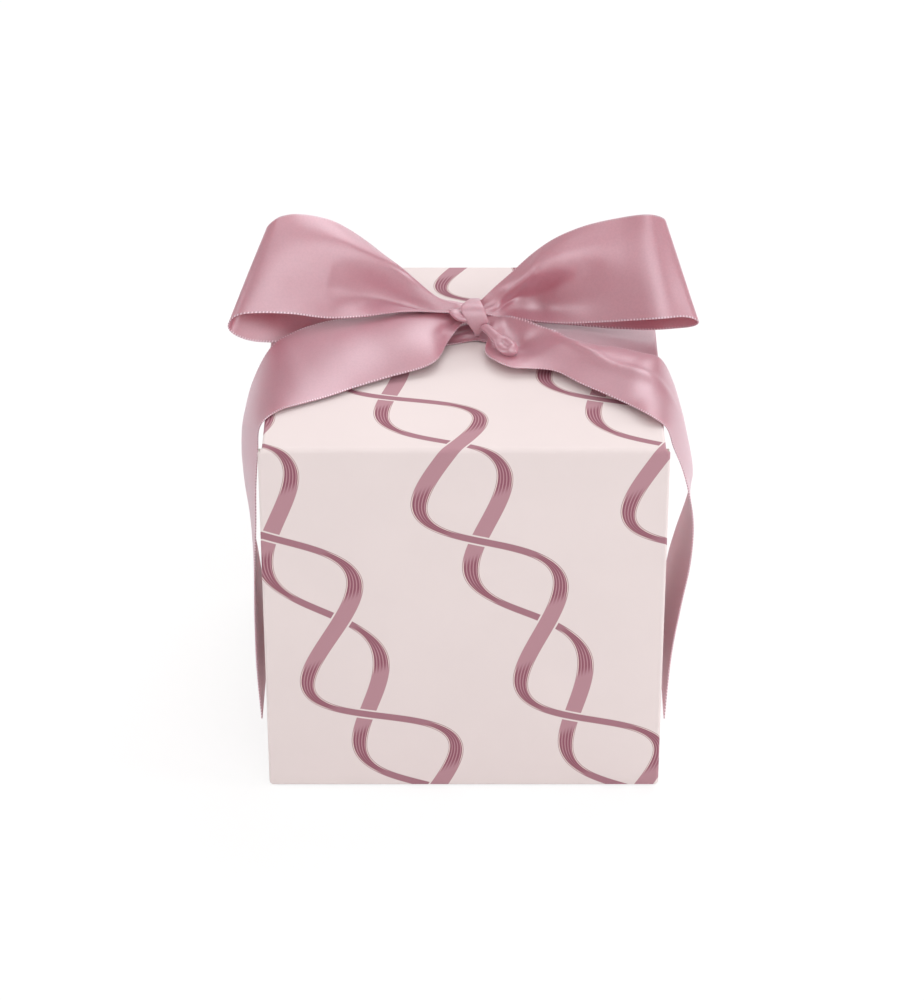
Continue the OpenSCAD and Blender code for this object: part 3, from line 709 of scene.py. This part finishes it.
# the turn of ribbon round the knot: its left x and right x, and the y and z of its outer face, from low
# behind the knot over its top and down its front
WRAP = [
    [3.2, 5.4, 4.2, 3.4],
    [3.0, 5.6, 5.4, 7.0],
    [2.4, 5.4, 4.0, 9.9],
    [1.6, 5.4, 0.8, 11.3],
    [0.2, 5.8, -1.5, 11.6],
    [-1.0, 6.6, -3.6, 11.2],
    [-0.6, 7.4, -5.2, 10.0],
    [0.7, 7.9, -6.0, 8.1],
    [2.0, 7.2, -6.3, 6.2],
    [3.4, 5.6, -6.0, 4.2],
    [3.6, 5.3, -4.6, 2.8],
    [3.4, 5.2, 0.0, 2.2]]


def signed_power(a, power):
    """|a|^power with the sign of a; of a cosine and sine it makes a circle squarer."""
    return np.sign(a) * np.abs(a) ** power


def wrap_surface(steps=6, around=48, thick=1.1):
    """The knot's wrap: the drawn turn as a closed Catmull-Rom curve, and round it a flat section, half c
    across and thick (d - 1) / 2 outward from the outer face, where c and d are the cosine and the sine,
    each to the power 0.4 with its sign kept. On the outer side, soft folds cut in by deep sin^2(pace (c +
    start)), less where the wrap is narrow."""
    deep, pace, start = 0.35, 5.2, 1.15
    broad = 3.0  # half width at which the folds are full
    turn = smooth_rows(WRAP[-2:] + WRAP + WRAP[:3], steps)[2 * steps:(2 + len(WRAP)) * steps]
    left, right, y, z = (turn[:, k:k + 1] for k in range(4))
    phi = np.linspace(0, TURN, around + 1)[None, :-1]
    c, d = signed_power(np.cos(phi), 0.4), signed_power(np.sin(phi), 0.4)
    half = (right - left) / 2
    ahead = np.roll(turn[:, 2:], -1, 0) - np.roll(turn[:, 2:], 1, 0)
    ahead /= np.linalg.norm(ahead, axis=1, keepdims=True)
    folds = deep * np.sin(pace * (c + start)) ** 2 * (d > 0) * np.minimum(half / broad, 1)
    outward = (d - 1) * thick / 2 - folds
    x = (left + right) / 2 + half * c
    return np.stack([x, y - ahead[:, 1:] * outward, z + ahead[:, :1] * outward], -1) + BOW


def wrap_piece():
    """The wrap as a ring of rings, with a uv map that keeps within the ribbon's selvedges."""
    grid = wrap_surface()
    rows, cols = grid.shape[:2]
    reach = 14.0  # how far its map goes to each side of the ribbon's middle
    along = np.arange(rows) * RING_STEP
    across = RIBBON_W / 2 + reach * np.cos(np.linspace(0, TURN, cols))
    uv = np.stack(np.meshgrid(along, across, indexing="ij"), -1).reshape(-1, 2) * MM
    return add_piece("satin_wrap", grid.reshape(-1, 3), grid_faces(rows, cols, 0, True, True), uv)


wrap = dress(wrap_piece(), SATIN, "lid")
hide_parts("knot_wrap")


def roll(name, path, flat, dish=0.0):
    """A rolled fold of the knot: rings of a circle, flattened by flat, along a smooth path of x, y, z and
    r. Where r is near its largest, a shallow bowl sinks into one side of it: r is scaled by 1 - dish
    exp(-((t - bowl) / wide)^2 - ((r - largest) / long)^2) at the angle t round the ring."""
    bowl, wide, long = 1.0, 0.75, 0.5
    map_from, map_width = 10.0, 18.0  # the part of the ribbon's width that its uv map shows
    line = smooth_rows(path, 10)
    centre, radius = line[:, :3], np.maximum(line[:, 3:4], 0.02)
    ahead = np.gradient(centre, axis=0)
    ahead /= np.linalg.norm(ahead, axis=1, keepdims=True)
    side = np.cross(ahead, [0, 0, 1.0])
    side /= np.linalg.norm(side, axis=1, keepdims=True)
    up = np.cross(side, ahead)
    t = np.linspace(0, TURN, 41)[None, :-1]
    r = radius * (1 - dish * np.exp(-((t - bowl) / wide) ** 2 - ((radius - radius.max()) / long) ** 2))
    across, rise = (r * np.cos(t))[..., None], (flat * r * np.sin(t))[..., None]
    grid = centre[:, None] + side[:, None] * across + up[:, None] * rise
    rows, cols = grid.shape[:2]
    points = np.vstack([grid.reshape(-1, 3), centre[:1], centre[-1:]]) + BOW
    ring = np.arange(cols)
    triangles = np.concatenate([halves(grid_faces(rows, cols, 0, ring_cols=True)[:, ::-1]),
                                fan(rows * cols, ring)[:, [0, 2, 1]],
                                fan(rows * cols + 1, (rows - 1) * cols + ring)])
    along = np.repeat(np.arange(rows) * RING_STEP, cols)
    uv = np.stack([along, np.tile(map_from + map_width * ring / cols, rows)], -1)
    uv = np.vstack([uv, [[0, RIBBON_W / 2]], [[rows * RING_STEP, RIBBON_W / 2]]]) * MM
    return dress(add_piece(name, points, triangles, uv), SATIN, "lid")


# the knot's puff and its curl, ring by ring: the middle's x y z and the radius
LOBE = [
    [-4.9, -4.6, 10.6, 0.2],
    [-4.3, -4.7, 10.6, 1.4],
    [-2.8, -4.9, 10.0, 2.3],
    [-1.0, -5.2, 9.0, 2.4],
    [0.6, -5.2, 8.2, 1.8],
    [1.8, -4.8, 7.8, 0.9]]

CURL = [
    [6.0, -8.2, 6.4, 0.9],
    [7.4, -9.8, 7.1, 1.6],
    [9.2, -12.6, 7.0, 1.8],
    [11.2, -15.8, 6.5, 2.2],
    [13.0, -18.6, 6.0, 3.0],
    [14.4, -20.8, 5.8, 3.2],
    [15.7, -22.6, 5.6, 2.6],
    [16.5, -23.8, 5.5, 1.4],
    [16.8, -24.3, 5.4, 0.2]]

lobe = roll("satin_lobe", LOBE, flat=0.55)
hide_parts("knot_lobe")
curl = roll("satin_curl", CURL, flat=0.8, dish=0.72)
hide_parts("knot_curl")


# ---------------------------------------------------------------- floor, light, camera

def mix_shaders(tree, share, first, second, output):
    """First where share is 0 and second where it is 1, put out as the surface."""
    mix = tree.nodes.new("ShaderNodeMixShader")
    tree.links.new(share, mix.inputs[0])
    tree.links.new(first.outputs[0], mix.inputs[1])
    tree.links.new(second.outputs[0], mix.inputs[2])
    tree.links.new(mix.outputs[0], tree.nodes[output].inputs["Surface"])


def stage_floor():
    """A wide flat floor, white to the camera and to reflections, that keeps a faint shadow."""
    half = 4000.0       # mm each way
    white_share = 0.72  # how much of what is seen of it is its own light
    corners = [[-half, -half, 0], [half, -half, 0], [half, half, 0], [-half, half, 0]]
    floor = add_piece("floor", corners, [[0, 1, 2, 3]], smooth=False)
    material, tree, shader = new_material("pale floor", 0.9, 0.0)
    shader.inputs["Base Color"].default_value = (0.86, 0.86, 0.86, 1)
    glow = tree.nodes.new("ShaderNodeEmission")
    glow.inputs["Strength"].default_value = 1.1
    rays = tree.nodes.new("ShaderNodeLightPath").outputs
    seen = Value(tree, rays["Is Camera Ray"]).top(Value(tree, rays["Is Glossy Ray"]))
    mix_shaders(tree, (seen * white_share).socket, shader, glow, "Material Output")
    floor.data.materials.append(material)


def soft_light(name, place, target, size, power):
    """A round lamp aimed at a target; places and sizes in metres, power in watts."""
    lamp = bpy.data.lights.new(name, "AREA")
    lamp.shape, lamp.size, lamp.energy, lamp.color = "DISK", size, power, (0.99, 1.0, 1.0)
    light = bpy.data.objects.new(name, lamp)
    light.location = place
    light.rotation_euler = (Vector(target) - Vector(place)).to_track_quat("-Z", "Y").to_euler()
    bpy.context.scene.collection.objects.link(light)


def studio_air():
    """A dim warm air round the box, and white behind it to the camera."""
    world = bpy.data.worlds.new("studio")
    world.use_nodes = True
    tree = world.node_tree
    air = tree.nodes["Background"]
    air.inputs["Color"].default_value = (1.0, 0.93, 0.91, 1)
    air.inputs["Strength"].default_value = 0.4
    white = tree.nodes.new("ShaderNodeBackground")
    white.inputs["Strength"].default_value = 1.0
    rays = tree.nodes.new("ShaderNodeLightPath").outputs
    mix_shaders(tree, rays["Is Camera Ray"], air, white, "World Output")
    bpy.context.scene.world = world


def front_camera():
    """The view from in front and above, as a long lens sees it."""
    lens = bpy.data.cameras.new("camera")
    lens.lens = 118.3
    lens.sensor_width = 36.0
    lens.clip_start, lens.clip_end = 0.05, 20.0
    camera = bpy.data.objects.new("camera", lens)
    camera.location = (-0.0006, -0.959, 0.646)
    camera.rotation_euler = (math.radians(59.16), 0, 0)
    bpy.context.scene.collection.objects.link(camera)
    bpy.context.scene.camera = camera


BOX_MIDDLE = (0, 0, 0.12)
stage_floor()
soft_light("key", (0.2, -0.88, 1.22), (0, 0, 0.1), 1.3, 6.6)
soft_light("front", (0.3, -1.5, 0.6), (0, 0, 0.08), 0.6, 2.2)
soft_light("rear", (0.38, 0.75, 1.38), BOX_MIDDLE, 1.05, 6.6)
soft_light("backdrop", (0.4, 1.4, 0.66), BOX_MIDDLE, 1.0, 3.4)
soft_light("above", (-0.25, 0.2, 1.6), BOX_MIDDLE, 0.9, 1.1)
soft_light("left", (-1.2, -0.1, 0.6), BOX_MIDDLE, 0.5, 2.8)
soft_light("right", (1.25, -0.25, 0.5), BOX_MIDDLE, 0.5, 4.5)
studio_air()
front_camera()
bpy.context.scene.view_settings.view_transform = "Standard"
